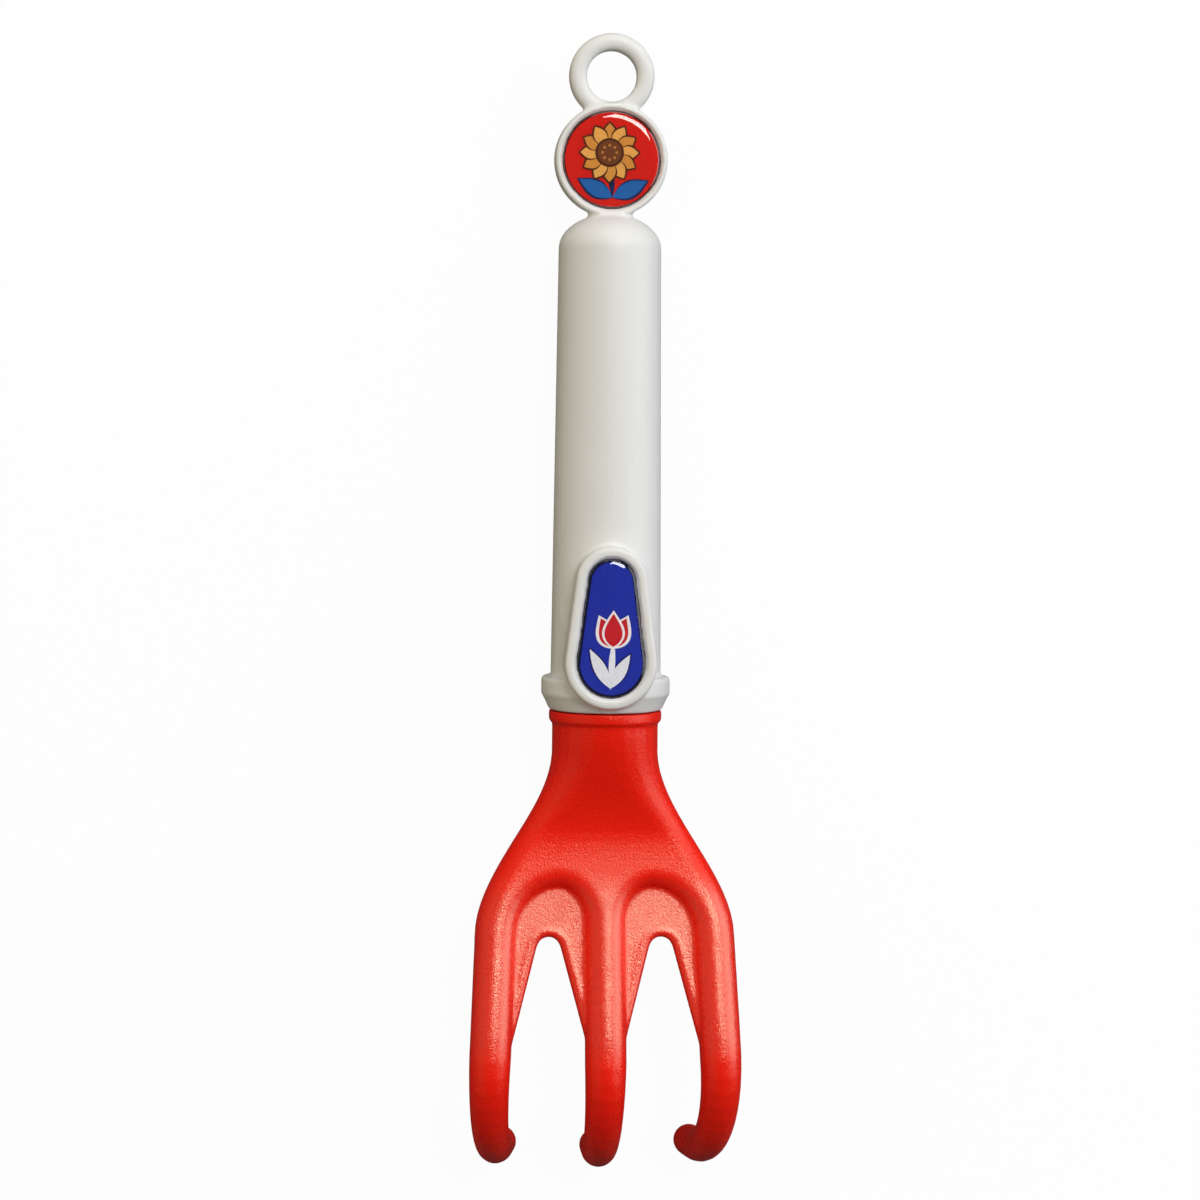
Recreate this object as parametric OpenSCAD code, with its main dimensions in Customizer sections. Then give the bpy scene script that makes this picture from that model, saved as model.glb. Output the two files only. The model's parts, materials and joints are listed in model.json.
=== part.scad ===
// Child's hand cultivator: a hollow moulded grip with a hanging ring, a moulded claw head that
// snaps into it, and two domed labels, each a printed film under a clear resin dome.
// Tool frame: z runs along the grip, 0 at the joint with the head and up towards the ring.
// The labels face -y, the tines bend back towards +y, and x runs across.

/* [Grip] */
// Length of the grip from the joint to the top of its shoulder
grip_len = 118; // [95:1:150]
// Radius of the grip just above the collar
grip_r = 13.2; // [12:0.1:16]
// Radius of the grip just below its shoulder
grip_top_r = 12.2; // [10:0.1:13]
// Height of the domed shoulder
shoulder_h = 8.2; // [6:0.1:11]
// Thickness of the grip's wall
wall = 2.6; // [2:0.1:3.2]

/* [Collar] */
// Height of the collar's straight band
band_h = 4.8; // [3:0.1:8]
// How far the band stands out from the grip
band_stand = 2.2; // [1:0.1:2.8]
// Height of the taper below the band
taper_h = 3.2; // [2:0.1:6]
// How far the grip's end stands out from the grip at the joint
joint_stand = 0.3; // [0.1:0.05:0.8]
// Radius that rounds the collar's edges
collar_edge = 0.8; // [0.3:0.1:1]

/* [Hanging ring] */
// Radius of the hole that goes over a hook
hang_hole_r = 6; // [4:0.1:9]
// Width of the band around the hole
ring_band = 4.1; // [3.6:0.1:6]
// Thickness of the ring from front to back
ring_t = 5.6; // [4.5:0.1:6.5]
// Radius that rounds the ring's edges
ring_edge = 1.6; // [0.8:0.1:2]
// Material left between the hole and the medallion
ring_land = 0.4; // [0.2:0.1:2]

/* [Medallion] */
// Radius of the round label
round_label_r = 11.8; // [9:0.1:14]
// Thickness of the medallion from front to back
medallion_t = 7; // [6.6:0.1:9]
// Width of the medallion's raised rim around its label
medallion_rim = 1.3; // [1.2:0.1:2.4]
// Radius that rounds the medallion's edges
medallion_edge = 0.7; // [0.3:0.1:0.8]
// Width of the neck that carries the medallion
neck_w = 10.6; // [8:0.1:14]
// Thickness of the neck from front to back
neck_t = 6; // [5:0.1:6.5]
// How far the medallion's edge lies below the top of the shoulder
medallion_dip = 0.6; // [0:0.1:2]

/* [Badge] */
// Radius of the drop label's lower end
drop_r = 8.35; // [7:0.05:9]
// Radius of the drop label's upper end
drop_top_r = 5.9; // [4.5:0.1:7]
// Distance between the centres of the drop label's two ends
drop_span = 19.1; // [14:0.1:30]
// How far the badge's rim stands out from the grip
badge_stand = 3; // [2.4:0.1:4.5]
// Width of the badge's raised rim around its label
badge_rim = 2.3; // [1.4:0.1:2.6]
// Height of the badge's foot above the joint
badge_lift = 1.2; // [0.2:0.1:6]
// Chamfer around the badge's rim
badge_edge = 0.5; // [0.2:0.1:0.7]

/* [Labels] */
// Depth of the pocket that each label lies in
pocket_depth = 1; // [0.6:0.1:1.5]
// Clearance between a label and its rim
label_gap = 0.25; // [0.1:0.05:0.5]
// Thickness of the printed film
film_t = 0.2; // [0.1:0.05:0.4]
// Height of the clear dome on the film
dome_h = 1.5; // [0.8:0.1:2.2]

/* [Snap joint] */
// Depth of the straight socket in the grip
socket_len = 26; // [22:0.5:34]
// Clearance between the spigot and the socket
fit_gap = 0.15; // [0.1:0.05:0.3]
// Wall of the hollow spigot
spigot_wall = 2; // [1.4:0.1:3]
// Gap between the spigot's end and the end of the socket
spigot_end_gap = 1.5; // [0.5:0.5:4]
// Distance from the spigot's end down to the snap bead
bead_drop = 6.5; // [4:0.5:10]
// How far the snap bead stands out from the spigot
bead_h = 0.55; // [0.3:0.05:0.8]
// Width of the slots that let the spigot's end flex
slot_w = 2.4; // [1.5:0.1:4]

/* [Head] */
// Height of the head's rim at the joint
head_rim_h = 2.9; // [2:0.1:5]
// How far the rim stands out from the neck below it
head_rim_step = 0.75; // [0.3:0.05:1.5]
// Distance from the joint to where the neck starts to widen
flare_start = 9.8; // [6:0.1:14]
// Distance from the joint to where the palm is as thin as the tines
palm_thin = 31; // [26:0.5:36]
// How far the palm's rounded edges reach towards its middle, as a share of its width
palm_crown = 0.5; // [0:0.05:0.8]
// Distance from the joint to the roots of the outer tines
tine_root = 54; // [50:0.5:64]
// How far the tines bow forward before they bend back
bow_rise = 12.5; // [0:0.5:15]
// Distance from the joint to where the palm starts to bow
bow_start = 27; // [24:0.5:32]
// Distance from the joint to where the tines are furthest forward
bow_end = 95; // [88:0.5:104]

/* [Tines] */
// Distance between neighbouring tines at their roots
tine_pitch = 26.2; // [23:0.1:30]
// Radius of a tine along its straight length
tine_r = 5; // [4:0.05:6]
// Radius of a tine's rounded tip
tip_r = 3.9; // [2.5:0.1:4.2]
// Distance from the joint to where the tines bend
bend_start = 84; // [80:0.5:100]
// How much earlier the outer tines bend than the middle one
outer_lead = 1.6; // [0:0.1:4]
// Radius of the bend along the middle of a tine
bend_r = 25.5; // [20:0.5:36]
// Angle through which a tine bends back
bend_angle = 90; // [80:1:100]
// Straight length of a tine between its bend and its rounded tip
tip_len = 4; // [1:0.5:12]
// Angle at which the outer tines lean outwards
splay = 2.7; // [0:0.1:5]
// Angle at which the tips of the outer tines turn inwards
toe_in = 10.5; // [0:0.5:14]

/* [Webs] */
// Thickness of the webs between the tines
web_t = 3; // [2:0.1:5]
// Radius of the bead along the edge of a web's notch
bead_r = 1.7; // [1.6:0.1:2.5]
// Radius at the top of a web's notch
notch_r = 2.8; // [1.5:0.1:3.5]
// Angle between each side of a notch and the middle tine
notch_angle = 15; // [13:0.5:20]
// Depth of a web from the crown of its arch to the top of its notch
web_depth = 11.7; // [8:0.1:14]
// Rise of an arch on its outer tine's side
arch_outer_rise = 16.5; // [14:0.1:18]
// Rise of an arch on its middle tine's side
arch_inner_rise = 13; // [11:0.1:14.5]
// Distance of an arch's crown from the middle tine, as a share of the pitch
arch_lean = 0.43; // [0.4:0.01:0.55]

/* [Hidden] */

$fn = 64;
spigot_facets = 48;
rim_facets = 60;
bead_facets = 16;
drop_dome_facets = 36;
side_steps = 12;
palm_steps = 15;
arch_steps = 7;
straight_steps = 5;
bend_steps = 12;
tip_steps = 4;
shoulder_step = 7.5;
dome_step = 7.5;
edge_step = 2;
settle_turns = 12;
dome_fullness = 0.8;
tip_closing = 0.6;
taper_turn = -55;
rim_edge_share = 0.7;
bow_lead_in = 10;
bow_lead_out = 23;
over = 1;

joint_r = grip_r + joint_stand;
collar_r = grip_r + band_stand;
collar_top = taper_h + band_h;
shoulder_z = grip_len - shoulder_h;

socket_r = grip_r - wall;
core_step = 0.4;
core_r = socket_r - core_step;
core_top_r = grip_top_r - wall;
core_end = shoulder_h - wall;
groove_r = socket_r + bead_h + fit_gap;
bead_half = 1;
groove_half = bead_half + fit_gap;
spigot_r = socket_r - fit_gap;
spigot_len = socket_len - spigot_end_gap;
bead_z = spigot_len - bead_drop;
slot_foot = bead_z / 3;

medallion_r = round_label_r + label_gap + medallion_rim;
medallion_z = grip_len - medallion_dip + medallion_r;
ring_r = hang_hole_r + ring_band;
ring_z = medallion_z + medallion_r + ring_land + hang_hole_r;
medallion_floor = medallion_t / 2 - pocket_depth;

badge_grow = label_gap + badge_rim;
drop_z = badge_lift + drop_r + badge_grow;
badge_front = grip_r + badge_stand;
badge_floor = badge_front - pocket_depth;
badge_root = sqrt(pow(grip_top_r - wall / 2, 2) - pow(min(drop_r + badge_grow, grip_top_r - wall), 2));

splay_shift = tan(splay);
palm_start = head_rim_h / 2;
head_neck_r = joint_r - head_rim_step;
head_rim_edge = head_rim_step * rim_edge_share;
palm_margin = 1.5;
outer_edge = tine_pitch + tine_r;
crown_x = tine_pitch * arch_lean;
crown_s = tine_root - arch_outer_rise;
inner_root = crown_s + arch_inner_rise;
palm_flat = crown_s - palm_margin;
web_top = crown_s + tine_r;
notch_s = web_top + web_depth + notch_r;
notch_x = tine_x(notch_s + tine_pitch / 2) / 2;
notch_bend = notch_r + bead_r;
notch_half = notch_x - tine_r / 2;
web_end = notch_s - notch_bend * sin(notch_angle)
    + (notch_half - notch_bend * cos(notch_angle)) / tan(notch_angle);
outer_bend_r = bend_r / cos(toe_in);
outer_straight = bend_start - outer_lead - tine_root;

// Resting pose: the tool lies on the tips of its tines and on the back of its shoulder.
outer_tip = tine_point(1, tine_root, [outer_straight, bend_angle, 0, tip_len], 0);
tip_back = outer_tip[1];
tip_z = outer_tip[2];
function shoulder_reach(t) = sqrt(pow(grip_top_r * cos(t), 2) + pow(shoulder_h * sin(t), 2));
function settle(t, turns) = turns == 0 ? t
    : settle(asin((tip_back * cos(t) + tip_r - shoulder_reach(t)) / (shoulder_z - tip_z)), turns - 1);
rest_tilt = settle(0, settle_turns);
rest_height = shoulder_z * sin(rest_tilt) + shoulder_reach(rest_tilt);

// Middle of the lying tool, between the ring's far edge and the bend or tip of the middle tine.
far_edge = (ring_z + ring_r - ring_edge) * cos(rest_tilt)
    + (ring_t / 2 - ring_edge) * sin(rest_tilt) + ring_edge;
bend_edge = min([for (a = [0 : edge_step : bend_angle])
    let (s = bend_start + bend_r * sin(a), depth = bend_r * (1 - cos(a)) - bow(s))
        -s * cos(rest_tilt) - depth * sin(rest_tilt) - tine_radius(a) * abs(sin(a - rest_tilt))]);
end_s = bend_start + bend_r * sin(bend_angle) + tip_len * cos(bend_angle);
end_depth = bend_r * (1 - cos(bend_angle)) + tip_len * sin(bend_angle) - bow(end_s);
end_edge = -end_s * cos(rest_tilt) - end_depth * sin(rest_tilt) - tip_r;
rest_shift = -(far_edge + min(bend_edge, end_edge)) / 2;

function tine_radius(a) = tine_r + (tip_r - tine_r) * a / bend_angle;
function smooth(u) = let (v = max(0, min(1, u))) v * v * (3 - 2 * v);
function ramp(x, lead) = x < 0 ? 0 : x < lead ? x * x / (2 * lead) : x - lead / 2;
function bow_run(s) = ramp(s - bow_start, bow_lead_in) - ramp(s - (bow_end - bow_lead_out), bow_lead_out);
function bow(s) = bow_rise * bow_run(s) / bow_run(bow_end);
function bowed(p) = [p[0], p[1] - bow(-p[2]), p[2]];
function arc(centre, r, from, to, steps = 6) =
    [for (i = [0 : steps]) let (a = from + (to - from) * i / steps) centre + r * [cos(a), sin(a)]];
function tine_x(s) = tine_pitch + (s - tine_root) * splay_shift;
function palm_half(s) = head_neck_r + (outer_edge - head_neck_r)
    * smooth((s - flare_start) / (tine_root - flare_start));
function palm_thick(s) = head_neck_r + (tine_r - head_neck_r)
    * smooth((s - palm_start) / (palm_thin - palm_start));
function palm_round(s) = palm_thick(s) + (palm_half(s) - palm_thick(s)) * palm_crown
    * (1 - smooth((s - flare_start) / (palm_flat - flare_start)));

// Middle line of an arch, from its outer tine over the crown to the middle tine.
function arch_line() = concat(
    [for (i = [0 : arch_steps]) let (a = 90 * i / arch_steps)
        [crown_x + (tine_pitch - crown_x) * cos(a), crown_s + arch_outer_rise * (1 - sin(a))]],
    [for (i = [1 : arch_steps]) let (a = 90 * i / arch_steps)
        [crown_x * (1 - sin(a)), crown_s + arch_inner_rise * (1 - cos(a))]]);

// Lays the tool down on its tips and shoulder, with the labels up and the ring towards +Y.
module lay() {
    translate([0, rest_shift, rest_height])
        rotate([-90 - rest_tilt, 0, 0])
            children();
}

// Turns a shape drawn in the x-y plane to face the front of the tool.
module to_front() {
    rotate([90, 0, 0]) children();
}

// The grip's outside, turned about its axis: collar, tapered grip and domed shoulder.
module grip_outside() {
    rotate_extrude()
        polygon(concat(
            [[0, 0], [joint_r, 0]],
            arc([collar_r - collar_edge, taper_h + collar_edge], collar_edge, taper_turn, 0),
            arc([collar_r - collar_edge, collar_top - collar_edge], collar_edge, 0, 90),
            arc([grip_r + collar_edge / 2, collar_top + collar_edge / 2], collar_edge / 2, -90, -180),
            [for (a = [0 : shoulder_step : 90]) [grip_top_r * cos(a), shoulder_z + shoulder_h * sin(a)]]));
}

// The hollow in the grip: the socket with its snap groove, then the drafted core.
module grip_inside() {
    rotate_extrude()
        polygon(concat(
            [[0, -over], [socket_r, -over]],
            [[socket_r, bead_z - groove_half - bead_h], [groove_r, bead_z - groove_half],
             [groove_r, bead_z + groove_half], [socket_r, bead_z + groove_half + bead_h]],
            [[socket_r, socket_len], [core_r, socket_len + core_step]],
            [for (a = [0 : 2 * shoulder_step : 90])
                [core_top_r * cos(a), shoulder_z + core_end * sin(a)]]));
}

// A disc or ring with rounded edges.
module rounded_band(r_in, r_out, t, edge) {
    rotate_extrude()
        polygon(concat(
            r_in > 0 ? arc([r_in + edge, -t / 2 + edge], edge, 180, 270) : [[0, -t / 2]],
            arc([r_out - edge, -t / 2 + edge], edge, -90, 0),
            arc([r_out - edge, t / 2 - edge], edge, 0, 90),
            r_in > 0 ? arc([r_in + edge, t / 2 - edge], edge, 90, 180) : [[0, t / 2]]));
}

// The flat neck that joins the shoulder to the medallion.
module neck() {
    root_z = shoulder_z + shoulder_h / 2;
    half = (neck_w - neck_t) / 2;
    translate([0, 0, root_z])
        linear_extrude(medallion_z - root_z)
            union() {
                square([2 * half, neck_t], center = true);
                for (side = [-1, 1]) translate([side * half, 0]) circle(neck_t / 2);
            }
}

// Outline of the drop label, grown all round.
module drop_outline(grow) {
    hull() {
        translate([0, drop_z]) circle(drop_r + grow);
        translate([0, drop_z + drop_span]) circle(drop_top_r + grow);
    }
}

// The raised boss that carries the drop label over the collar.
module badge() {
    to_front()
        hull() {
            translate([0, 0, badge_root])
                linear_extrude(badge_front - badge_edge - badge_root) drop_outline(badge_grow);
            translate([0, 0, badge_root])
                linear_extrude(badge_front - badge_root) drop_outline(badge_grow - badge_edge);
        }
}

module handle() {
    color([0.9, 0.89, 0.86])
        difference() {
            union() {
                grip_outside();
                badge();
                neck();
                translate([0, 0, medallion_z]) to_front()
                    rounded_band(0, medallion_r, medallion_t, medallion_edge);
                translate([0, 0, ring_z]) to_front()
                    rounded_band(hang_hole_r, ring_r, ring_t, ring_edge);
            }
            grip_inside();
            translate([0, 0, medallion_z]) to_front()
                translate([0, 0, medallion_floor])
                    cylinder(r = round_label_r + label_gap, h = pocket_depth + over);
            to_front()
                translate([0, 0, badge_floor])
                    linear_extrude(pocket_depth + over) drop_outline(label_gap);
        }
}

// The slotted tube that snaps into the grip's socket.
module spigot() {
    difference() {
        rotate_extrude($fn = spigot_facets)
            polygon([[spigot_r - spigot_wall, -head_rim_h / 2], [spigot_r, -head_rim_h / 2],
                     [spigot_r, bead_z - bead_half - bead_h], [spigot_r + bead_h, bead_z - bead_half],
                     [spigot_r + bead_h, bead_z + bead_half], [spigot_r, bead_z + bead_half + bead_h],
                     [spigot_r, spigot_len - spigot_wall / 2],
                     [spigot_r - spigot_wall / 2, spigot_len], [spigot_r - spigot_wall, spigot_len]]);
        for (turn = [0, 90]) rotate([0, 0, turn])
            translate([-groove_r, -slot_w / 2, slot_foot]) cube([2 * groove_r, slot_w, socket_len]);
    }
}

// The disc that meets the end of the grip.
module head_rim() {
    rotate_extrude($fn = rim_facets)
        polygon(concat(
            [[0, 0], [0, -head_rim_h]],
            arc([joint_r - head_rim_edge, -head_rim_h + head_rim_edge], head_rim_edge, -90, 0),
            [[joint_r, 0]]));
}

// Points across the side of a bar that runs in the x-z plane, from its back round to its front:
// half an ellipse that reaches out by one radius and stands as thick as twice the other.
function side_points(axis, out, reach, r) = [for (k = [0 : side_steps])
    let (b = 90 - 180 * k / side_steps)
        bowed([axis[0] + out[0] * reach * cos(b), r * sin(b), -(axis[1] + out[1] * reach * cos(b))])];

palm_stations = concat(
    [for (i = [0 : palm_steps]) palm_start + (palm_flat - palm_start) * i / palm_steps],
    [for (i = [1 : arch_steps]) palm_flat + (tine_root - palm_flat) * i / arch_steps]);
function palm_rows(side) = [for (s = palm_stations)
    side_points([side * (palm_half(s) - palm_round(s)), s], [side, 0], palm_round(s), palm_thick(s))];

function arch_out(line, i) = i == 0 ? [-1, 0] : i == len(line) - 1 ? [1, 0]
    : let (d = line[i + 1] - line[i - 1]) [d[1], -d[0]] / norm(d);
function arch_rows(side) = let (line = arch_line()) [for (i = [0 : len(line) - 1])
    let (o = arch_out(line, i))
        side_points([side * line[i][0], line[i][1]], [side * o[0], o[1]], tine_r, tine_r)];

// Rings along a tine: each is [distance along the straight, angle of bend, radius, reach past the bend].
function tine_stations(straight) = concat(
    [for (i = [0 : straight_steps]) [straight * i / straight_steps, 0, tine_r, 0]],
    [for (i = [1 : bend_steps]) let (a = bend_angle * i / bend_steps) [straight, a, tine_radius(a), 0]],
    [for (i = [0 : tip_steps]) let (b = 90 * i / (tip_steps + tip_closing))
        [straight, bend_angle, tip_r * cos(b), tip_len + tip_r * sin(b)]]);
function turned(p, a) = [p[0] * cos(a) - p[1] * sin(a), p[0] * sin(a) + p[1] * cos(a), p[2]];
function leaned(p, a) = [p[0] * cos(a) - p[2] * sin(a), p[1], p[0] * sin(a) + p[2] * cos(a)];
function tine_point(side, root, q, b) = let (
    radius = side == 0 ? bend_r : outer_bend_r,
    ring = [q[2] * cos(b), q[2] * sin(b)],
    depth = radius * (1 - cos(q[1])) + q[3] * sin(q[1]) + ring[1] * cos(q[1]),
    drop = radius * sin(q[1]) + q[3] * cos(q[1]) - ring[1] * sin(q[1]),
    bent = turned([ring[0], depth, -drop], side * toe_in),
    along = leaned([bent[0], bent[1], bent[2] - q[0]], side * splay))
        bowed([side * tine_pitch + along[0], along[1], along[2] - root]);
function tine_rows(side) = let (root = side == 0 ? inner_root : tine_root,
    stations = tine_stations(side == 0 ? bend_start - root : outer_straight))
        [for (i = [1 : len(stations) - 1]) [for (k = [0 : 2 * side_steps - 1])
            tine_point(side, root, stations[i], 90 - 180 * k / side_steps)]];

function flat(rows) = [for (row = rows) each row];
function strip(top, low) = [for (k = [0 : len(top) - 2])
    each [[low[k + 1], top[k + 1], top[k]], [low[k], low[k + 1], top[k]]]];
function sheet(right, left) = [for (i = [0 : len(right) - 2])
    each [for (f = [[right[i], right[i + 1], left[i + 1]], [right[i], left[i + 1], left[i]]])
        if (f[0] != f[1] && f[1] != f[2] && f[2] != f[0]) f]];
function turned_over(faces) = [for (f = faces) [f[2], f[1], f[0]]];

// Places of the points in the claw's list: the palm's two edges, the two arches, the three tines.
columns = side_steps + 1;
ring = 2 * side_steps;
palm_count = len(palm_stations);
arch_count = 2 * arch_steps + 1;
tine_count = straight_steps + bend_steps + tip_steps + 1;
arch_first = 2 * palm_count * columns;
tine_first = arch_first + 2 * arch_count * columns;
function crest(k) = k == 0 || k == side_steps;
function palm_at(side, i, k) = (side < 0 && !(i == 0 && crest(k)) ? palm_count * columns : 0)
    + i * columns + k;
function arch_at(side, i, k) = i == 0 && crest(k) ? palm_at(side, palm_count - 1, k)
    : arch_first + (side < 0 && !(i == arch_count - 1 && crest(k)) ? arch_count * columns : 0)
    + i * columns + k;
function root_at(side, half, k) = side == 0 ? arch_at(half, arch_count - 1, k)
    : side == half ? palm_at(side, palm_count - 1, k) : arch_at(side, 0, k);
function tine_at(side, j, k) = j > 0 ? tine_first + ((side + 1) * tine_count + j - 1) * ring + k % ring
    : k <= side_steps ? root_at(side, 1, k) : root_at(side, -1, ring - k);

// The palm, the arches and the tines as one surface: strips of points down the outer edges of the
// palm, around the two arches and along the three tines, closed by the two faces of the palm.
module claw() {
    points = concat(flat(palm_rows(1)), flat(palm_rows(-1)), flat(arch_rows(1)), flat(arch_rows(-1)),
        flat(tine_rows(-1)), flat(tine_rows(0)), flat(tine_rows(1)));
    palm_edge = function (side) [for (i = [0 : palm_count - 2]) each strip(
        [for (k = [0 : side_steps]) palm_at(side, i, k)],
        [for (k = [0 : side_steps]) palm_at(side, i + 1, k)])];
    arch_edge = function (side) [for (i = [0 : arch_count - 2]) each strip(
        [for (k = [0 : side_steps]) arch_at(side, i, k)],
        [for (k = [0 : side_steps]) arch_at(side, i + 1, k)])];
    tine_side = function (side) [for (j = [0 : tine_count - 1]) each strip(
        [for (k = [0 : ring]) tine_at(side, j, k)],
        [for (k = [0 : ring]) tine_at(side, j + 1, k)])];
    low_edge = function (side, k) [for (i = [palm_steps : palm_count - 1]) palm_at(side, i, k)];
    outer_arch = function (side, k) [for (i = [arch_steps : -1 : 0]) arch_at(side, i, k)];
    inner_arch = function (side, k) [for (i = [arch_steps : arch_count - 1]) arch_at(side, i, k)];
    palm_top = function (side, k) concat(
        [for (i = [0 : palm_steps]) palm_at(side, i, k)], inner_arch(side, k));
    face = function (k) concat(
        sheet(palm_top(1, k), palm_top(-1, k)),
        sheet(low_edge(1, k), outer_arch(1, k)),
        sheet(outer_arch(-1, k), low_edge(-1, k)));
    back = 0;
    front = side_steps;
    polyhedron(points, concat(
        palm_edge(1), turned_over(palm_edge(-1)),
        arch_edge(1), turned_over(arch_edge(-1)),
        [for (side = [-1 : 1]) each tine_side(side)],
        [for (side = [-1 : 1]) [for (k = [ring - 1 : -1 : 0]) tine_at(side, tine_count, k)]],
        face(front), turned_over(face(back)),
        [concat([for (k = [0 : side_steps]) palm_at(1, 0, k)],
                [for (k = [side_steps - 1 : -1 : 1]) palm_at(-1, 0, k)])]));
}

// Everything below the middle line of an arch, between its two tines.
module under_arch(side, end) {
    polygon(concat(
        [for (p = arch_line()) [side * p[0], -p[1]]],
        [[0, -end], [side * tine_x(end), -end]]));
}

// Middle line of the bead around a web's notch, from the middle tine over the top to the outer tine.
function notch_line() = concat([[notch_x - notch_half, web_end]],
    arc([notch_x, notch_s], notch_bend, 180 + notch_angle, 360 - notch_angle),
    [[notch_x + notch_half, web_end]]);

// Leans a flat web forward, so that it stays in the middle of the bowed tines.
module leaned_web() {
    slope = (bow(web_end) - bow(web_top)) / (web_end - web_top);
    multmatrix([[1, 0, 0, 0], [0, 1, slope, slope * web_top - bow(web_top)], [0, 0, 1, 0]]) children();
}

// The thin plate under an arch, with a bead around its notch.
module web(side) {
    line = notch_line();
    leaned_web() {
        to_front()
            linear_extrude(web_t, center = true)
                difference() {
                    under_arch(side, web_end);
                    polygon([for (p = line) [side * p[0], -p[1]]]);
                }
        for (i = [0 : len(line) - 2])
            hull()
                for (p = [line[i], line[i + 1]])
                    translate([side * p[0], 0, -p[1]]) sphere(bead_r, $fn = bead_facets);
    }
}

module head() {
    color([0.88, 0.2, 0.14]) {
        head_rim();
        spigot();
        claw();
        for (side = [-1, 1]) web(side);
    }
}

function dome_profile(r) = [for (a = [0 : dome_step : 90])
    [r * pow(cos(a), dome_fullness), dome_h * pow(sin(a), dome_fullness)]];

// Clear resin drawn up into a dome by its own surface.
module dome(r) {
    rotate_extrude() polygon(concat([[0, 0]], dome_profile(r)));
}

module round_label() {
    color([0.8, 0.1, 0.08])
        translate([0, 0, medallion_z]) to_front()
            translate([0, 0, medallion_floor]) cylinder(r = round_label_r, h = film_t);
}

module round_dome() {
    color([0.95, 0.95, 0.95, 0.35])
        translate([0, 0, medallion_z]) to_front()
            translate([0, 0, medallion_floor + film_t]) dome(round_label_r);
}

module drop_label() {
    color([0.17, 0.16, 0.6])
        to_front()
            translate([0, 0, badge_floor]) linear_extrude(film_t) drop_outline(0);
}

module drop_dome() {
    color([0.95, 0.95, 0.95, 0.35])
        to_front()
            translate([0, 0, badge_floor + film_t])
                hull() {
                    translate([0, drop_z, 0]) dome(drop_r, $fn = drop_dome_facets);
                    translate([0, drop_z + drop_span, 0]) dome(drop_top_r, $fn = drop_dome_facets);
                }
}

lay() handle();
lay() head();
lay() round_label();
lay() round_dome();
lay() drop_label();
lay() drop_dome();
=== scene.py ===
# %% [markdown]
# # A child's hand cultivator
# A small garden claw: an off-white grip with a hanging ring, two domed labels and a collar, and a red
# head with three bent tines that snaps into the grip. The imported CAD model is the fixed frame. This
# lesson gives every piece its soft moulded edges and its finish, then sets up a studio picture.

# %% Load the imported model
import json
import math

import bmesh
import bpy
from mathutils import Matrix, Vector


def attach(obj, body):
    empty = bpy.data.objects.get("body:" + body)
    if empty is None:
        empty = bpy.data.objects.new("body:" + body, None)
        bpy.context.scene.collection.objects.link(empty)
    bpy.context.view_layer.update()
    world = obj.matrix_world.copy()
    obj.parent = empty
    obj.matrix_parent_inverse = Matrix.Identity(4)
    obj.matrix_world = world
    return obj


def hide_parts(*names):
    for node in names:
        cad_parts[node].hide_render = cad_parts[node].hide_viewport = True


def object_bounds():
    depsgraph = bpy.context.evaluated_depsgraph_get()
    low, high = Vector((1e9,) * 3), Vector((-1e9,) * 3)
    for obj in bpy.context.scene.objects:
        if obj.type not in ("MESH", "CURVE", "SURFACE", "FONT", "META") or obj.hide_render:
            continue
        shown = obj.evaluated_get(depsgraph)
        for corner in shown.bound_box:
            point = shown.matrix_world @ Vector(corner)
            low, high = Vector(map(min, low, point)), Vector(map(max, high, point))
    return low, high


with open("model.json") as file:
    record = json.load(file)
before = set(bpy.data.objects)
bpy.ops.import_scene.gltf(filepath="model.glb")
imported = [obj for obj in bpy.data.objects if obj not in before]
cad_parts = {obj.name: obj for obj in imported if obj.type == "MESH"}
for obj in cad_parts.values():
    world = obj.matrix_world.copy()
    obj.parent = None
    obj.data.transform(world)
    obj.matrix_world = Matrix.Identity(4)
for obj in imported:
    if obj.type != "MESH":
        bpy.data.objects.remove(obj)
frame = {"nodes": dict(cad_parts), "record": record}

MM = 0.001  # m
scene = bpy.context.scene
cad_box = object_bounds()
print("CAD box in mm:", [round(v / MM, 1) for corner in cad_box for v in corner])

# %% [markdown]
# ## The tool's own axes
# The tool lies on its tine tips and on the back of its shoulder, so its grip tilts by about two degrees.
# Labels and camera are easier to place along the grip than along the floor. The hanging hole gives
# both directions: its axis stands square to the labels, and its middle is a known distance from the
# joint between grip and head. Here x runs across the tines, y into the tool's back, z to the ring.

# %% Axes along the grip
RING_FROM_JOINT = 150.5  # mm

hang_hole = next(m for m in frame["record"]["mounts"] if m["name"] == "hang_hole")
front = Vector(hang_hole["axis"])
along = Vector((0, front.z, -front.y))
tool_axes = Matrix((Vector((1, 0, 0)), -front, along)).transposed()
joint = Vector(hang_hole["pos_m"]) - along * RING_FROM_JOINT * MM
tool_frame = Matrix.Translation(joint) @ tool_axes.to_4x4() @ Matrix.Scale(MM, 4)
to_tool = tool_frame.inverted()


def tool_box(node):
    """A CAD node's lowest and highest corner along the tool's own axes, in mm."""
    points = [to_tool @ v.co for v in frame["nodes"][node].data.vertices]
    return tuple(Vector(pick(p[i] for p in points) for i in range(3)) for pick in (min, max))


print("grip tilt:", round(math.degrees(math.atan2(front.y, front.z)), 2), "degrees")

# %% [markdown]
# ## The camera
# The photograph looks almost straight at the labels from less than a metre away: a little from the
# left and a little from the ring's end. Distance, angles and scale were found by laying the CAD
# model's outline over the photographed one. The lens follows from how many millimetres one of the
# picture's 1200 pixels covers at the grip.

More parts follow.
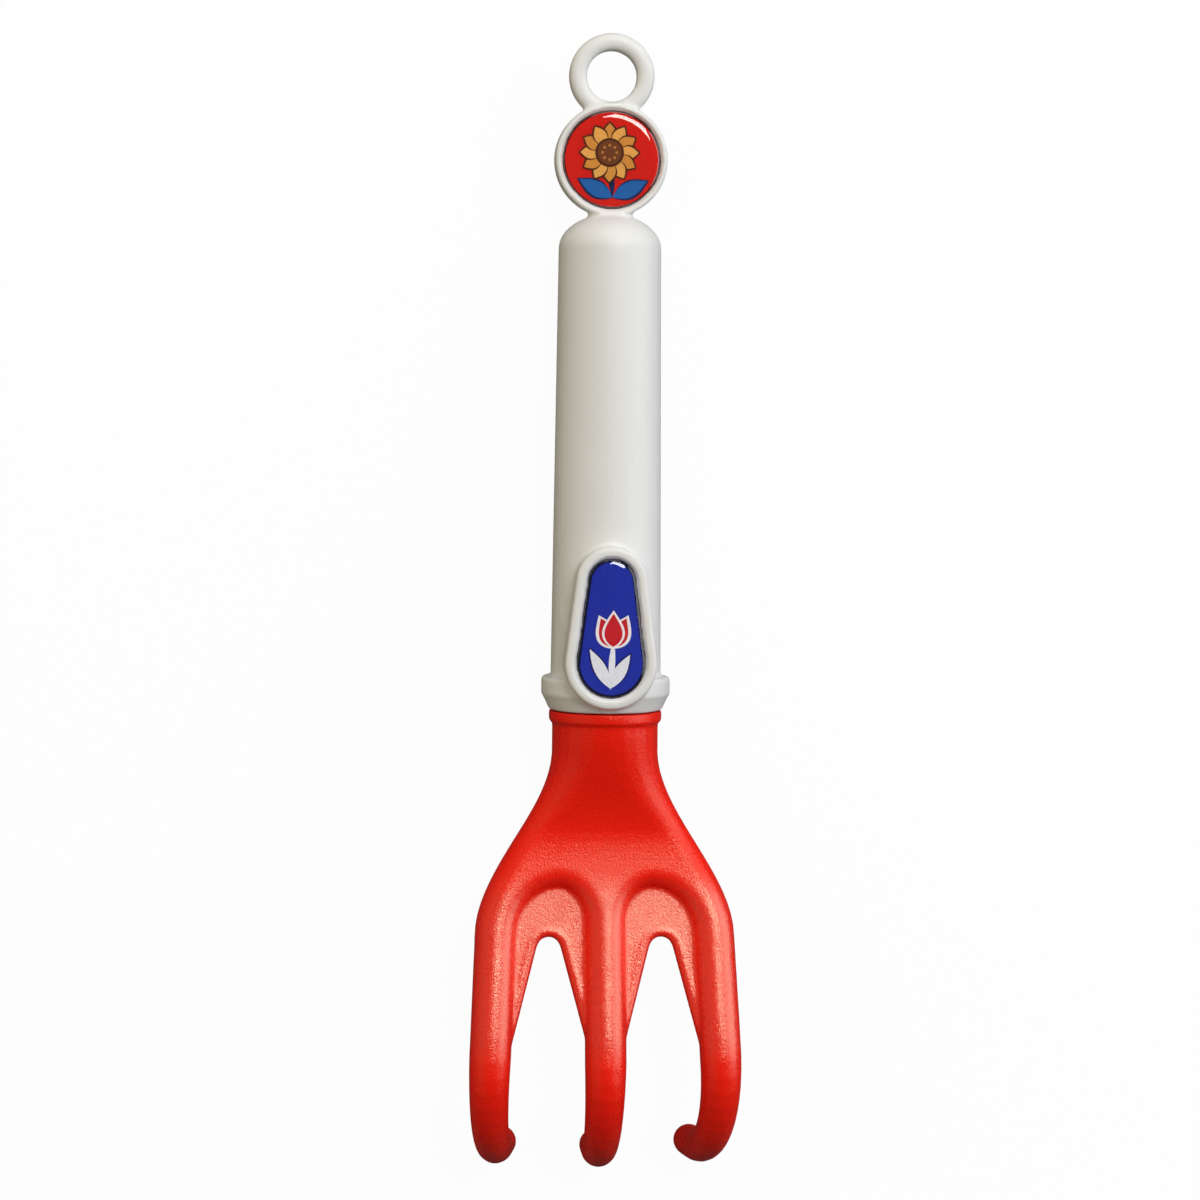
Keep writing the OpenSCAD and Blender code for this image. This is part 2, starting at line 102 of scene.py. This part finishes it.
# %% Camera
PICTURE = 1200  # pixels
PIXEL = 0.2393  # mm at the grip's axis
DISTANCE = 820  # mm
FROM_LEFT = math.radians(4.8)
FROM_RING_END = math.radians(3.7)
ROLL = math.radians(0.59)
PICTURE_CENTRE = Vector((-1.51, 0, 26.15))  # mm along the tool's axes

view_from = Vector((-math.tan(FROM_LEFT), -1, math.tan(FROM_RING_END))).normalized()
right = view_from.cross(Vector((0, 0, -1))).normalized()
up = view_from.cross(right)
turn = Matrix((right, up, view_from)).transposed() @ Matrix.Rotation(ROLL, 3, "Z")
camera = bpy.data.objects.new("camera", bpy.data.cameras.new("camera"))
camera.data.lens = camera.data.sensor_width * DISTANCE / (PICTURE * PIXEL)
place = tool_frame @ (PICTURE_CENTRE + view_from * DISTANCE)
camera.matrix_world = Matrix.Translation(place) @ (tool_axes @ turn).to_4x4()
scene.collection.objects.link(camera)
scene.camera = camera
print("lens:", round(camera.data.lens, 1), "mm")

# %% [markdown]
# ## Colours and nodes
# Colours are written as sRGB hex values, as a designer picks them on screen, and turned to the linear
# values that shaders calculate with. One small function adds any shader node with its settings and
# links, so that each material below reads as a list of what it is made of. Two more functions use it
# for what the materials share: a mix of two tones, and a noise that is spread over a range.

# %% Helpers for materials
def linear(hex_colour):
    """An sRGB hex colour as linear red, green, blue and alpha, by the sRGB standard's formula."""
    values = [int(hex_colour[i:i + 2], 16) / 255 for i in (1, 3, 5)]
    return [v / 12.92 if v <= 0.04045 else ((v + 0.055) / 1.055) ** 2.4 for v in values] + [1]


def add(tree, kind, settings=(), **inputs):
    """Adds a node. An input is a plain value or another node's output; _ in its name is a space."""
    node = tree.nodes.new(kind)
    for name, value in dict(settings).items():
        setattr(node, name, value)
    for name, value in inputs.items():
        socket = node.inputs[name.replace("_", " ")]
        if isinstance(value, bpy.types.NodeSocket):
            tree.links.new(value, socket)
        else:
            socket.default_value = value
    return node


def new_material(name):
    """An empty material, its node tree and its output node."""
    material = bpy.data.materials.new(name)
    material.use_nodes = True
    material.node_tree.nodes.clear()
    return material, material.node_tree, add(material.node_tree, "ShaderNodeOutputMaterial")


# Several sockets of a Mix node have the same name, so the ones for colours are found by number.
FIRST_TONE = 6
SECOND_TONE = 7
MIXED_TONE = 2  # among the outputs


def two_tones(tree, factor, first, second):
    """The output of a node that mixes two hex colours."""
    mix = add(tree, "ShaderNodeMix", {"data_type": "RGBA"}, Factor=factor)
    mix.inputs[FIRST_TONE].default_value = linear(first)
    mix.inputs[SECOND_TONE].default_value = linear(second)
    return mix.outputs[MIXED_TONE]


# Most values of a noise texture lie in this range.
NOISE_LOW = 0.3
NOISE_HIGH = 0.7


def spread(tree, noise, low, high):
    """The output of a node that spreads a noise from low to high."""
    return add(tree, "ShaderNodeMapRange", Value=noise.outputs["Fac"], From_Min=NOISE_LOW,
               From_Max=NOISE_HIGH, To_Min=low, To_Max=high).outputs[0]


print("white in linear values:", linear("#FFFFFF"))

# %% [markdown]
# ## Off-white polypropylene
# The grip is injection moulded in polypropylene, a waxy plastic. Its mould was lightly blasted, so the
# surface is satin: broad, soft highlights and no sharp reflection. The colour is a plain light grey
# white that drifts very slightly over the length, where the melt cooled at different speeds.

# %% Grip material
SATIN_GRAIN = 0.5  # mm
SATIN_DEPTH = 0.02  # mm
MELT_DRIFT = 22  # mm

satin_white, tree, output = new_material("satin_white_polypropylene")
place_on_piece = add(tree, "ShaderNodeTexCoord").outputs["Object"]
drift = add(tree, "ShaderNodeTexNoise", Vector=place_on_piece, Scale=1 / (MELT_DRIFT * MM), Detail=2.0)
colour = two_tones(tree, drift.outputs["Fac"], "#E2E2E0", "#E7E7E5")
grain = add(tree, "ShaderNodeTexNoise", Vector=place_on_piece, Scale=1 / (SATIN_GRAIN * MM), Detail=3.0)
bump = add(tree, "ShaderNodeBump", Height=grain.outputs["Fac"], Strength=0.25, Distance=SATIN_DEPTH * MM)
plastic = add(tree, "ShaderNodeBsdfPrincipled", Base_Color=colour,
              Roughness=spread(tree, grain, 0.36, 0.46), Normal=bump.outputs[0], IOR=1.49)
tree.links.new(plastic.outputs[0], output.inputs[0])
print("made", satin_white.name)

# %% [markdown]
# ## Red polypropylene with a spark-eroded texture
# The head's mould was spark-eroded, which leaves a fine pebbled skin. It spreads the light, and where
# a rounded edge faces the lamp it breaks the highlight into small bright specks. The specks come from
# a bump of about half a millimetre, two pixels of the picture, which is as fine as it can show. The
# real head's highlights are strong and a little warm. So its index of refraction is set above the 1.49
# of polypropylene, and its gloss has a pale yellow tint. Its sheen is strongest on the webs and along
# the bow of the tines, as if the mould was polished there, so the gloss fades from the middle of the
# bow towards palm and tips.

# %% Head material
PEBBLE = 0.45  # mm
PEBBLE_DEPTH = 0.11  # mm
RED_DRIFT = 14  # mm
BOW_MIDDLE = -61  # mm along the tool
POLISHED = 14  # mm each way from the bow's middle
POLISH_ENDS = 24  # mm each way
POLISHED_GLOSS = 0.95
PLAIN_GLOSS = 0.28

pebbled_red, tree, output = new_material("pebbled_red_polypropylene")
place_on_piece = add(tree, "ShaderNodeTexCoord").outputs["Object"]
pebbles = add(tree, "ShaderNodeTexNoise", Vector=place_on_piece, Scale=1 / (PEBBLE * MM),
              Detail=2.0, Roughness=0.6)
drift = add(tree, "ShaderNodeTexNoise", Vector=place_on_piece, Scale=1 / (RED_DRIFT * MM), Detail=2.0)
colour = two_tones(tree, drift.outputs["Fac"], "#F41A09", "#FA1F0C")
bump = add(tree, "ShaderNodeBump", Height=pebbles.outputs["Fac"], Strength=1.0,
           Distance=PEBBLE_DEPTH * MM)
along_floor = add(tree, "ShaderNodeSeparateXYZ", Vector=place_on_piece).outputs["Y"]
from_middle = add(tree, "ShaderNodeMath", {"operation": "SUBTRACT"}, Value=along_floor)
from_middle.inputs[1].default_value = (tool_frame @ Vector((0, 0, BOW_MIDDLE))).y
distance = add(tree, "ShaderNodeMath", {"operation": "ABSOLUTE"}, Value=from_middle.outputs[0])
gloss = add(tree, "ShaderNodeMapRange", {"interpolation_type": "SMOOTHSTEP"}, Value=distance.outputs[0],
            From_Min=POLISHED * MM, From_Max=POLISH_ENDS * MM, To_Min=POLISHED_GLOSS, To_Max=PLAIN_GLOSS)
plastic = add(tree, "ShaderNodeBsdfPrincipled", Base_Color=colour,
              Roughness=spread(tree, pebbles, 0.24, 0.33), Normal=bump.outputs[0], IOR=1.7,
              Specular_IOR_Level=gloss.outputs[0], Specular_Tint=linear("#FFFBDC"))
tree.links.new(plastic.outputs[0], output.inputs[0])
print("made", pebbled_red.name)

# %% [markdown]
# ## Printed vinyl film
# Each label is a vinyl film printed before the resin is poured. The print's colours are stored on the
# film's faces, and the material reads them. A fine dither of the ink keeps large areas from looking
# painted in one flat tone.

# %% Film material
INK_DITHER = 0.35  # mm, coarser than a real print's dots so that it shows

printed_vinyl, tree, output = new_material("printed_vinyl_film")
ink = add(tree, "ShaderNodeVertexColor", {"layer_name": "ink"}).outputs["Color"]
place_on_piece = add(tree, "ShaderNodeTexCoord").outputs["Object"]
dither = add(tree, "ShaderNodeTexNoise", Vector=place_on_piece, Scale=1 / (INK_DITHER * MM), Detail=1.0)
colour = add(tree, "ShaderNodeHueSaturation", Color=ink, Value=spread(tree, dither, 0.92, 1.08))
vinyl = add(tree, "ShaderNodeBsdfPrincipled", Base_Color=colour.outputs[0], Roughness=0.5,
            Specular_IOR_Level=0.05)
tree.links.new(vinyl.outputs[0], output.inputs[0])
print("made", printed_vinyl.name)

# %% [markdown]
# ## Clear polyurethane
# The domes are polyurethane resin, poured on the film and held by its own surface tension. It is clear
# and glossy like glass. Its index of refraction is set above polyurethane's 1.5, so that its highlights
# come out as white as in the photograph. Lamps pass through it to the print: for shadow rays the resin
# is transparent, so that the film is lit without noisy focused light.

# %% Resin material
clear_resin, tree, output = new_material("clear_polyurethane")
resin = add(tree, "ShaderNodeBsdfPrincipled", Base_Color=linear("#FCFCFA"), Roughness=0.03,
            IOR=1.65, Transmission_Weight=1.0)
lamp_light = add(tree, "ShaderNodeLightPath").outputs["Is Shadow Ray"]
through = add(tree, "ShaderNodeMixShader", Fac=lamp_light)
tree.links.new(resin.outputs[0], through.inputs[1])
tree.links.new(add(tree, "ShaderNodeBsdfTransparent").outputs[0], through.inputs[2])
tree.links.new(through.outputs[0], output.inputs[0])
print("made", clear_resin.name)

# %% [markdown]
# ## Grip and head with moulded radii
# A mould can't leave a knife edge: every edge and inner corner of the real mouldings has a small
# radius, and those radii carry the thin highlights that make plastic look real. Bevelling each edge by
# hand would take long on such rounded forms. A voxel remesh wraps the CAD solid in one even skin, a
# few smoothing passes round its edges alike, and a decimation then thins the flat areas.

# %% Moulded copies
SKIN_VOXEL = 0.4  # mm
SMOOTHING_PASSES = 6
FACES_KEPT = 0.4


def moulded_copy(node, material):
    """A piece that stands for a CAD node, with its edges rounded as a mould leaves them."""
    piece = bpy.data.objects.new(f"{node}_moulding", frame["nodes"][node].data.copy())
    scene.collection.objects.link(piece)
    skin = piece.modifiers.new("skin", "REMESH")
    skin.mode = "VOXEL"
    skin.voxel_size = SKIN_VOXEL * MM
    radii = piece.modifiers.new("radii", "SMOOTH")
    radii.iterations = SMOOTHING_PASSES
    thinner = piece.modifiers.new("thinner", "DECIMATE")
    thinner.ratio = FACES_KEPT
    made = bpy.data.meshes.new_from_object(piece.evaluated_get(bpy.context.evaluated_depsgraph_get()))
    piece.modifiers.clear()
    piece.data = made
    made.materials.clear()
    made.materials.append(material)
    made.shade_smooth()
    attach(piece, "root")
    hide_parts(node)
    print(piece.name, "has", len(made.polygons), "faces")
    return piece


moulded_copy("handle", satin_white)
claw = moulded_copy("head", pebbled_red)

# %% [markdown]
# ## The line at the joint
# Grip and head are two mouldings, and a snap joint leaves a thin gap between them that reads as a dark
# line. In the CAD model the two touch. A separate dark ring would look painted on, so the top of the
# head's rim, outside the spigot, is pressed down by the width of the gap.

# %% Gap at the joint
SPIGOT_REACH = 10.6  # mm from the grip's axis
PARTING_GAP = 0.3  # mm

for vertex in claw.data.vertices:
    point = to_tool @ vertex.co
    if math.hypot(point.x, point.y) > SPIGOT_REACH and point.z > -PARTING_GAP:
        vertex.co = tool_frame @ Vector((point.x, point.y, -PARTING_GAP))
print("parting gap:", PARTING_GAP, "mm")

# %% [markdown]
# ## Outlines of the labels
# Both labels have simple outlines: a circle, and a drop that is drawn around a large and a small
# circle. Going round by the direction that the edge faces gives both with one function: in each
# direction, the point that lies furthest out belongs to the edge. The same function draws an outline
# that lies inside the edge by an even width, for the dark rings of painted shade at the prints' edges
# and for the domes.

# %% Label outlines
AROUND = 144  # points
DROP_TOP_RADIUS = 5.9  # mm, as in the CAD model


def wrapped(circles, inset=0.0):
    """Points around circles of (height along the tool, radius), drawn in by inset, in mm."""
    points = []
    for i in range(AROUND):
        angle = math.tau * i / AROUND
        height, radius = max(circles, key=lambda circle: circle[0] * math.sin(angle) + circle[1])
        points.append(((radius - inset) * math.cos(angle), height + (radius - inset) * math.sin(angle)))
    return points


round_low, round_high = tool_box("round_label")
round_radius = (round_high.x - round_low.x) / 2
round_circles = [(round_low.z + round_radius, round_radius)]
drop_low, drop_high = tool_box("drop_label")
drop_radius = (drop_high.x - drop_low.x) / 2
drop_circles = [(drop_low.z + drop_radius, drop_radius), (drop_high.z - DROP_TOP_RADIUS, DROP_TOP_RADIUS)]
print("round label radius:", round(round_radius, 2), "mm")
print("drop label circles:", [round(v, 1) for circle in drop_circles for v in circle], "mm")

# %% [markdown]
# ## Printed films
# The prints are plain garden pictures: a sunflower on red and a tulip on blue. Around each lies a thin
# dark ring of painted shade, which stands for the shadow in the gap at the label's edge; the film's back
# and sides have the same dark colour. On the real labels the inks lie on the film in layers. Here each
# patch of ink is a flat face with a clean outline, a hundredth of a millimetre above the one below, in
# the order of printing.

# %% Helpers for the prints
SIDE_STEPS = 16
INK_LAYER = 0.01  # mm


def petal(root, length, width, heading, fullness=1.0):
    """A petal or leaf that grows from root towards heading, in degrees clockwise from straight up."""
    steps = [i / SIDE_STEPS for i in range(SIDE_STEPS + 1)]
    side = [(math.sin(math.pi * s ** fullness) * width / 2, s * length) for s in steps]
    outline = side + [(-x, z) for x, z in reversed(side[1:-1])]
    cosine, sine = math.cos(math.radians(heading)), math.sin(math.radians(heading))
    return [(root[0] + x * cosine + z * sine, root[1] - x * sine + z * cosine) for x, z in outline]


def disc(centre, radius):
    """A round patch of ink."""
    return [(centre[0] + x, z) for x, z in wrapped([(centre[1], radius)])]


def printed_film(node, circles, painted_edge_shade, patches):
    """The vinyl film of a label: a thin plate in the dark colour of the painted edge shade, with the ink
    patches on it.
    """
    low, high = tool_box(node)
    edge = wrapped(circles)
    layers = [(edge, low.y, painted_edge_shade)]
    layers += [(outline, low.y - INK_LAYER * (i + 1), ink) for i, (outline, ink) in enumerate(patches)]
    mesh = bmesh.new()
    inks = mesh.loops.layers.float_color.new("ink")
    back = [mesh.verts.new(tool_frame @ Vector((x, high.y, z))) for x, z in edge]
    faces = [(mesh.faces.new(list(reversed(back))), painted_edge_shade)]
    for outline, y, ink in layers:
        faces.append((mesh.faces.new([mesh.verts.new(tool_frame @ Vector((x, y, z)))
                                      for x, z in outline]), ink))
    print_edge = list(faces[1][0].verts)
    for i in range(len(edge)):
        j = (i + 1) % len(edge)
        faces.append((mesh.faces.new((back[i], back[j], print_edge[j], print_edge[i])), painted_edge_shade))
    for face, ink in faces:
        for loop in face.loops:
            loop[inks] = linear(ink)
    made = bpy.data.meshes.new(f"{node}_film")
    mesh.to_mesh(made)
    mesh.free()
    film = bpy.data.objects.new(f"{node}_film", made)
    scene.collection.objects.link(film)
    made.materials.append(printed_vinyl)
    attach(film, "root")
    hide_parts(node)
    print(film.name, "has", len(patches), "patches of ink")
    return film


print("points around a petal:", len(petal((0, 0), 1, 1, 0)))

# %% [markdown]
# ## Sunflower
# The round label shows a sunflower with a stem and two leaves on red. A flower is one petal, turned
# round its middle again and again. Each petal and leaf is printed twice, first a little larger in a dark
# ink, which leaves an outline where the lighter one doesn't cover it.

# %% Sunflower on the round label
# Width of the dark ring of painted shade at the round film's edge, which stands for the gap's shadow.
ROUND_SHADE_RING = 0.9  # mm
PETALS = 12
SEEDS = 8
SEED_RING = 1.7  # mm
DARK_BLUE = "#14254F"
DARK_BROWN = "#4A2412"

middle = (-0.6, round_circles[0][0] + 1.6)
foot = (middle[0] + 0.8, middle[1] - 10.6)
leaf_foot = (foot[0], foot[1] + 0.1)
sunflower = [(wrapped(round_circles, ROUND_SHADE_RING), "#D01C0F")]
sunflower.append((petal(foot, length=8.0, width=1.5, heading=-4), DARK_BLUE))
for heading in (-62, 64):
    sunflower.append((petal(foot, length=9.6, width=4.4, heading=heading, fullness=0.9), DARK_BLUE))
    sunflower.append((petal(leaf_foot, length=9.0, width=3.5, heading=heading, fullness=0.9), "#2364AE"))
for i in range(PETALS):
    heading = 360 * i / PETALS
    gold = "#E3AA55" if i % 2 else "#D0913F"
    sunflower.append((petal(middle, length=7.4, width=3.7, heading=heading, fullness=1.5), DARK_BROWN))
    sunflower.append((petal(middle, length=6.9, width=3.0, heading=heading, fullness=1.5), gold))
sunflower.append((disc(middle, radius=3.4), DARK_BROWN))
sunflower.append((disc(middle, radius=2.9), "#6E3F22"))
for i in range(SEEDS):
    angle = math.tau * i / SEEDS
    seed = (middle[0] + SEED_RING * math.cos(angle), middle[1] + SEED_RING * math.sin(angle))
    sunflower.append((disc(seed, radius=0.32), "#B9793A"))
# The dark red-brown here is painted shade: the shadow in the gap around the label, on the film's edge
# ring, back and sides.
round_film = printed_film("round_label", round_circles, "#2C0605", sunflower)

# %% [markdown]
# ## Tulip
# The drop label shows a tulip on blue: two pale leaves, a stem, and three petals in red with a white
# edge. The middle petal is printed last, so that it covers the two beside it.

# %% Tulip on the drop label
# Width of the dark ring of painted shade at the drop film's edge, which stands for the gap's shadow.
DROP_SHADE_RING = 1.15  # mm
LEAF_OUTLINE = 0.6  # mm
PETAL_EDGE = 0.4  # mm
RED_SHORTER = 1.2  # mm
PALE_GREY = "#E9EAEE"

foot = (-0.2, drop_low.z + 2.6)
stem_foot = (foot[0], foot[1] - 0.4)
cup = (0.4, foot[1] + 9.4)
red_cup = (cup[0], cup[1] + PETAL_EDGE)
tulip = [(wrapped(drop_circles, DROP_SHADE_RING), "#2131A4")]
for heading, length in ((-28, 10.5), (30, 9.2)):
    tulip.append((petal(foot, length + LEAF_OUTLINE, width=3.6, heading=heading, fullness=0.9), "#1A1C5C"))
    tulip.append((petal(foot, length, width=2.9, heading=heading, fullness=0.9), PALE_GREY))
tulip.append((petal(stem_foot, length=cup[1] - foot[1] + 3, width=1.5, heading=3), PALE_GREY))
for heading, length in ((-24, 8.6), (24, 8.6), (0, 9.0)):
    red_length = length - RED_SHORTER
    tulip.append((petal(cup, length, width=5.4, heading=heading, fullness=0.75), "#F2F0EE"))
    tulip.append((petal(red_cup, red_length, width=4.3, heading=heading, fullness=0.75), "#C8232B"))
# The dark navy here is painted shade: the shadow in the gap around the label, on the film's edge ring,
# back and sides.
drop_film = printed_film("drop_label", drop_circles, "#080922", tulip)

# %% [markdown]
# ## Resin domes
# Poured resin stops at the film's edge, where it stands up in a steep meniscus. Inside that edge it
# rises on gently and flattens towards the middle, sooner on the wide label. So from the middle outwards
# its height falls with two powers of the distance, a very high one for the meniscus and a low one for
# the rest. Rings of points, drawn in evenly from the label's outline while they rise, give that form
# and stay smooth enough for sharp highlights. The dome starts inside the film's thickness, so that the
# print lies in the resin with no film of air between them.

# %% Domes
DOME_STEPS = 48
EDGE_CROWDING = 1.5  # a power that sets the rings closer together at the edge
SUNK = 0.1  # mm
DOME_EDGE = 0.2  # mm that the resin stays inside the film's edge
MENISCUS = 0.1  # mm, the width over which the steep edge dies away
MENISCUS_SHARE = 0.55  # of the dome's height


def resin_dome(node, circles, flatness):
    """A closed dome of clear resin over a label's outline."""
    low, high = tool_box(node)
    reach = min(radius for height, radius in circles) - DOME_EDGE
    mesh = bmesh.new()
    rings = []
    for i in range(DOME_STEPS):
        inset = (i / DOME_STEPS) ** EDGE_CROWDING
        steep = 1 - (1 - inset) ** (reach / MENISCUS)
        broad = 1 - (1 - inset) ** flatness
        y = high.y - (high.y - low.y) * (MENISCUS_SHARE * steep + (1 - MENISCUS_SHARE) * broad)
        rings.append([(x, y, z) for x, z in wrapped(circles, DOME_EDGE + reach * inset)])
    rings.insert(0, [(x, high.y + SUNK, z) for x, y, z in rings[0]])
    verts = [[mesh.verts.new(tool_frame @ Vector(point)) for point in ring] for ring in rings]
    mesh.faces.new(list(reversed(verts[0])))
    mesh.faces.new(verts[-1])
    for lower, upper in zip(verts, verts[1:]):
        for i in range(AROUND):
            j = (i + 1) % AROUND
            mesh.faces.new((lower[i], lower[j], upper[j], upper[i]))
    bmesh.ops.recalc_face_normals(mesh, faces=mesh.faces)
    made = bpy.data.meshes.new(f"{node}_resin")
    mesh.to_mesh(made)
    mesh.free()
    dome = bpy.data.objects.new(f"{node}_resin", made)
    scene.collection.objects.link(dome)
    made.materials.append(clear_resin)
    made.shade_smooth()
    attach(dome, "root")
    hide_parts(node)
    print(dome.name, "has", len(made.polygons), "faces")


resin_dome("round_dome", round_circles, flatness=11)
resin_dome("drop_dome", drop_circles, flatness=4.5)

# %% [markdown]
# ## Floor
# The photograph's ground is plain white. A wide sheet of pale paper lies under the tool. Most of what
# the camera sees of it is a set white, and the rest is lit paper, which keeps a soft shadow. In the
# photograph the plastic shows no white floor on its underside. So only the camera sees that white, and
# the light that the sheet throws back is that of a darker paper.

# %% Floor
FLOOR_SIDE = 40  # m
FLOOR_GAP = 0.02  # mm below the tool
SET_WHITE = 0.96  # share of what the camera sees

studio_paper, tree, output = new_material("pale_studio_paper")
seen = add(tree, "ShaderNodeLightPath").outputs["Is Camera Ray"]
share = add(tree, "ShaderNodeMath", {"operation": "MULTIPLY"})
tree.links.new(seen, share.inputs[0])
share.inputs[1].default_value = SET_WHITE
paper = add(tree, "ShaderNodeBsdfDiffuse", Color=two_tones(tree, seen, "#555553", "#FCFCFA"))
set_white = add(tree, "ShaderNodeEmission", Color=linear("#FFFFFF"), Strength=1.0)
mixed = add(tree, "ShaderNodeMixShader", Fac=share.outputs[0])
tree.links.new(paper.outputs[0], mixed.inputs[1])
tree.links.new(set_white.outputs[0], mixed.inputs[2])
tree.links.new(mixed.outputs[0], output.inputs[0])

floor_mesh = bpy.data.meshes.new("floor")
half = FLOOR_SIDE / 2
corners = [(-half, -half, 0), (half, -half, 0), (half, half, 0), (-half, half, 0)]
floor_mesh.from_pydata(corners, [], [(0, 1, 2, 3)])
floor_mesh.materials.append(studio_paper)
floor = bpy.data.objects.new("floor", floor_mesh)
floor.location.z = cad_box[0].z - FLOOR_GAP * MM
scene.collection.objects.link(floor)
print("floor at", round(floor.location.z / MM, 3), "mm")

# %% [markdown]
# ## Light
# Shoulder, ring and collar are brightest where they face the ring's end, the domes carry a highlight
# near their upper right, and the tines darken where they bend away. So most light in the photograph
# comes from the ring's end, a little from the right. A small soft box in front makes the highlights, a
# large one beyond the ring lights the shoulder, one on the right keeps that side pale, and a warm one
# on the left opens the shade. That last one stands for light off a wall, so it shows in no gloss.

# %% Lamps
def soft_lamp(name, place, width, height, power, colour):
    """A soft box of a size and at a place in metres, which faces the middle of the tool."""
    lamp = bpy.data.objects.new(name, bpy.data.lights.new(name, "AREA"))
    lamp.data.shape = "RECTANGLE"
    lamp.data.size, lamp.data.size_y = width, height
    lamp.data.energy = power
    lamp.data.color = linear(colour)[:3]
    lamp.location = place
    lamp.rotation_euler = (-Vector(place)).to_track_quat("-Z", "Y").to_euler()
    scene.collection.objects.link(lamp)
    print(name, "lamp:", power, "W")
    return lamp


soft_lamp("key", place=(0.4, 0.82, 1.5), width=0.66, height=0.46, power=12.6, colour="#FFFEFA")
soft_lamp("top", place=(0.15, 1.9, 0.6), width=1.5, height=1.5, power=13.6, colour="#FFFFFF")
soft_lamp("side", place=(1.0, 0.2, 0.4), width=1.1, height=1.1, power=8.2, colour="#F8FAFF")
fill = soft_lamp("fill", place=(-1.0, 0.25, 0.4), width=2.0, height=2.0, power=10.4, colour="#FFF2D4")
fill.visible_glossy = False

# %% [markdown]
# ## Room
# A dim room around gives the rest of the light. Where the floor ends, the camera sees a white backdrop
# instead, which fades into the room's grey higher up. Nothing but the camera sees it, so it adds no
# light.

# %% Room
ROOM = 0.06
FADE_START = 0.25  # sine of the height above the horizon
FADE_END = 0.5

world = bpy.data.worlds.new("room")
world.use_nodes = True
tree = world.node_tree
tree.nodes.clear()
direction = add(tree, "ShaderNodeTexCoord").outputs["Generated"]
upward = add(tree, "ShaderNodeSeparateXYZ", Vector=direction).outputs["Z"]
low_down = add(tree, "ShaderNodeMapRange", Value=upward, From_Min=FADE_START, From_Max=FADE_END,
               To_Min=1.0, To_Max=0.0)
backdrop = add(tree, "ShaderNodeMath", {"operation": "MULTIPLY"})
tree.links.new(add(tree, "ShaderNodeLightPath").outputs["Is Camera Ray"], backdrop.inputs[0])
tree.links.new(low_down.outputs[0], backdrop.inputs[1])
room = add(tree, "ShaderNodeBackground", Color=linear("#FFFFFF"), Strength=ROOM)
white = add(tree, "ShaderNodeBackground", Color=linear("#FFFFFF"), Strength=1.0)
mixed = add(tree, "ShaderNodeMixShader", Fac=backdrop.outputs[0])
tree.links.new(room.outputs[0], mixed.inputs[1])
tree.links.new(white.outputs[0], mixed.inputs[2])
tree.links.new(mixed.outputs[0], add(tree, "ShaderNodeOutputWorld").inputs[0])
scene.world = world
scene.view_settings.view_transform = "Standard"
print("room light:", ROOM)
